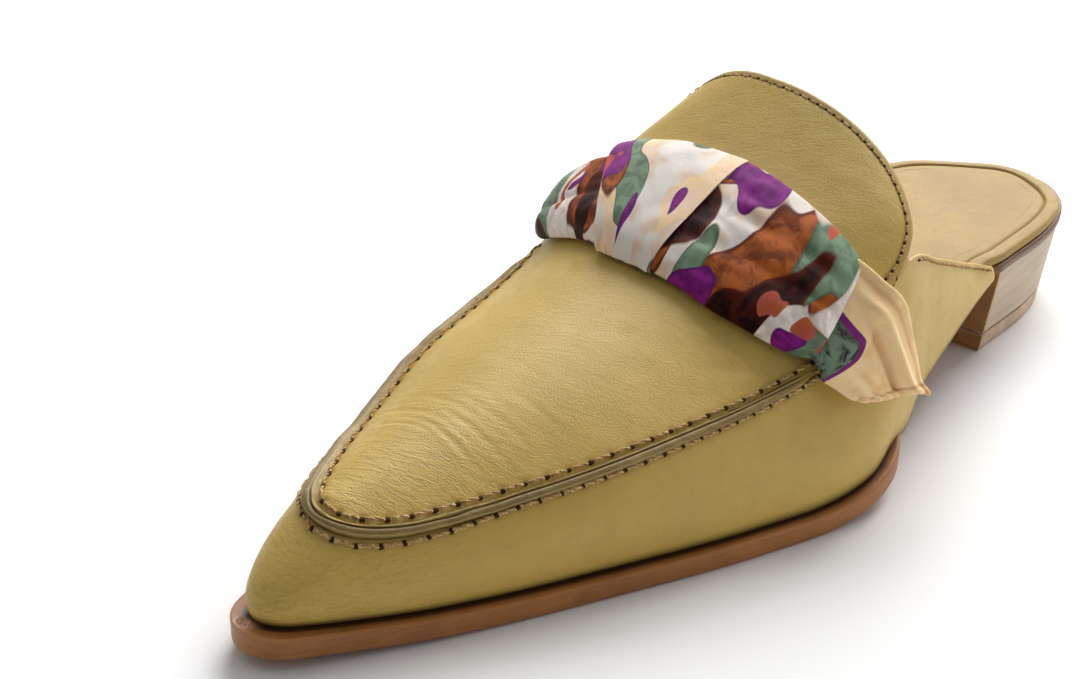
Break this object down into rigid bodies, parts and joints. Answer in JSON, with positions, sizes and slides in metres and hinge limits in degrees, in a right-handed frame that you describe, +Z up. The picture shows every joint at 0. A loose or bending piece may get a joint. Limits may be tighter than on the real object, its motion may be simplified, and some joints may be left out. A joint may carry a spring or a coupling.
{
  "type": "pointed loafer mule",
  "caption": "Left women's pointed-toe loafer mule: backless leather upper with a raised moccasin seam, tall tongue tab, folded scarf over the vamp and a low block heel.",
  "frame": {"origin": "on the ground, in the middle of the shoe's bounding box in plan", "axes": "+Z up from the ground, -Y towards the toe, +Y towards the heel, +X towards the lateral (outer) side of this left shoe"},
  "size_m": [0.094, 0.27, 0.0742],
  "materials": {
    "outsole_leather": "mid-brown edge with a low satin gloss",
    "stacked_heel": "greyish taupe stacked layers, matt; breast dark brown",
    "heel_lift": "brown, matt",
    "insole_leather": "cream leather, matt, with a pressed groove near the rim",
    "upper_leather": "mustard khaki, fine grain, satin",
    "printed_satin": "satin cloth with a loose print of blots in rust, plum, black, sage and off-white",
    "scarf_lining": "peach cloth, matt, with border lines"
  },
  "bodies": {
    "root": {"outsole": "outsole_leather", "heel_block": "stacked_heel", "top_piece": "heel_lift", "insole": "insole_leather", "upper": "upper_leather", "tongue": "upper_leather", "scarf_band": "printed_satin", "scarf_wrap": "printed_satin", "scarf_tail": "scarf_lining"}
  },
  "joints": []
}
